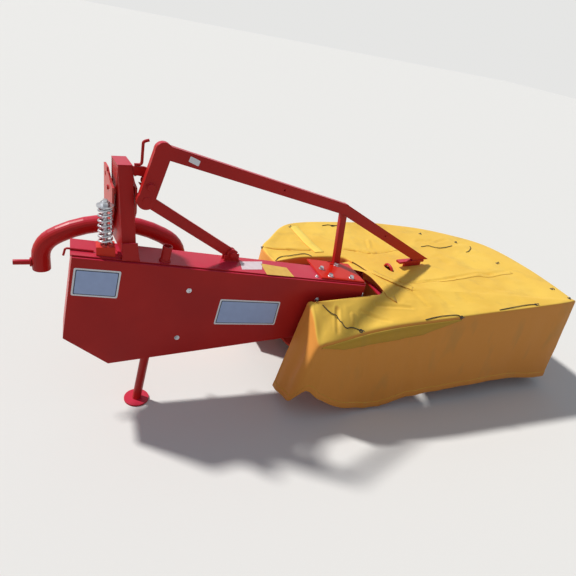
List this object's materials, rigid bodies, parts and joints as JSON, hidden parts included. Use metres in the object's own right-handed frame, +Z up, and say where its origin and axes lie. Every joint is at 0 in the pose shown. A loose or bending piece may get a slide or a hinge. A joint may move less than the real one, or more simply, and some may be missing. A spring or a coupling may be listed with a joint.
{
  "type": "two-drum rotary mower for a tractor's three-point linkage",
  "caption": "Rear-mounted rotary drum mower: sloping belt housing, hitch arch and mast, lifting truss, drums with knives on skid dishes under a yellow canvas guard, parked on its stand.",
  "frame": {"origin": "on the floor, midway along the machine's length and depth", "axes": "+X to the machine's right along its length, +Y forward towards the tractor, +Z up"},
  "size_m": [2.76, 1.12, 1.1719],
  "materials": {
    "red_paint": "gloss red machine paint",
    "drum_paint": "gloss orange-red paint",
    "canvas": "coated yellow tarpaulin",
    "zinc": "zinc plated steel",
    "knife_steel": "hardened flat steel",
    "skid_steel": "dark painted steel",
    "black_plastic": "moulded black plastic"
  },
  "bodies": {
    "frame": {"belt_housing": "red_paint", "belt_cover": "red_paint", "joint_plate": "red_paint", "stand_sleeve": "red_paint", "spring_seat": "red_paint", "spring_rod": "zinc", "tension_spring": "zinc", "truss_bar": "red_paint", "truss_strut": "red_paint", "truss_brace": "red_paint", "brace_clevis": "red_paint", "truss_pins": "zinc", "truss_lug": "red_paint", "pivot_lug": "red_paint", "tilt_pivot": "zinc", "gear_beam": "red_paint", "gearbox_left": "red_paint", "gearbox_right": "red_paint", "input_housing": "red_paint", "guard_hoop": "red_paint", "guard_arms": "red_paint", "canvas_top": "canvas", "canvas_skirt": "canvas", "shaft_guard": "black_plastic", "rod_hook": "red_paint"},
    "left_drum": {"drum_left": "drum_paint", "knives_left": "knife_steel"},
    "right_drum": {"drum_right": "drum_paint", "knives_right": "knife_steel"},
    "left_skid": {"skid_left": "skid_steel", "skid_pin_left": "skid_steel"},
    "right_skid": {"skid_right": "skid_steel", "skid_pin_right": "skid_steel"},
    "input": {"input_shaft": "zinc"},
    "hitch": {"arch_tube": "red_paint", "link_pins": "red_paint", "mast": "red_paint", "top_link_plates": "red_paint", "tilt_plate": "red_paint", "latch_handle": "red_paint"},
    "stand": {"stand_tube": "red_paint", "stand_foot": "red_paint"}
  },
  "joints": [
    {"name": "right_drum_spin", "type": "hinge", "parent": "frame", "child": "right_drum", "pos_m": [0.8075, 0, 0.2], "axis": [0, 0, 1], "continuous": true},
    {"name": "left_drum_spin", "type": "hinge", "parent": "frame", "child": "left_drum", "pos_m": [0.1325, 0, 0.2], "axis": [0, 0, 1], "continuous": true},
    {"name": "input_spin", "type": "hinge", "parent": "frame", "child": "input", "pos_m": [-0.995, -0.13, 0.463], "axis": [0, 1, 0], "continuous": true},
    {"name": "left_skid_spin", "type": "hinge", "parent": "frame", "child": "left_skid", "pos_m": [0.1325, 0, 0.03], "axis": [0, 0, 1], "continuous": true},
    {"name": "right_skid_spin", "type": "hinge", "parent": "frame", "child": "right_skid", "pos_m": [0.8075, 0, 0.03], "axis": [0, 0, 1], "continuous": true},
    {"name": "hitch_tilt", "type": "hinge", "parent": "frame", "child": "hitch", "pos_m": [-0.96542, -0.27181, 0.766], "axis": [-0.1392, 0.9903, 0], "range_deg": [-4, 6]},
    {"name": "stand_slide", "type": "slide", "parent": "frame", "child": "stand", "axis": [0.1253, 0, 0.9921], "range_m": [0, 0.2]}
  ],
  "couplings": [
    {"joint": "left_drum_spin", "follows": "right_drum_spin", "ratio": -1},
    {"joint": "input_spin", "follows": "right_drum_spin", "ratio": 0.3}
  ]
}
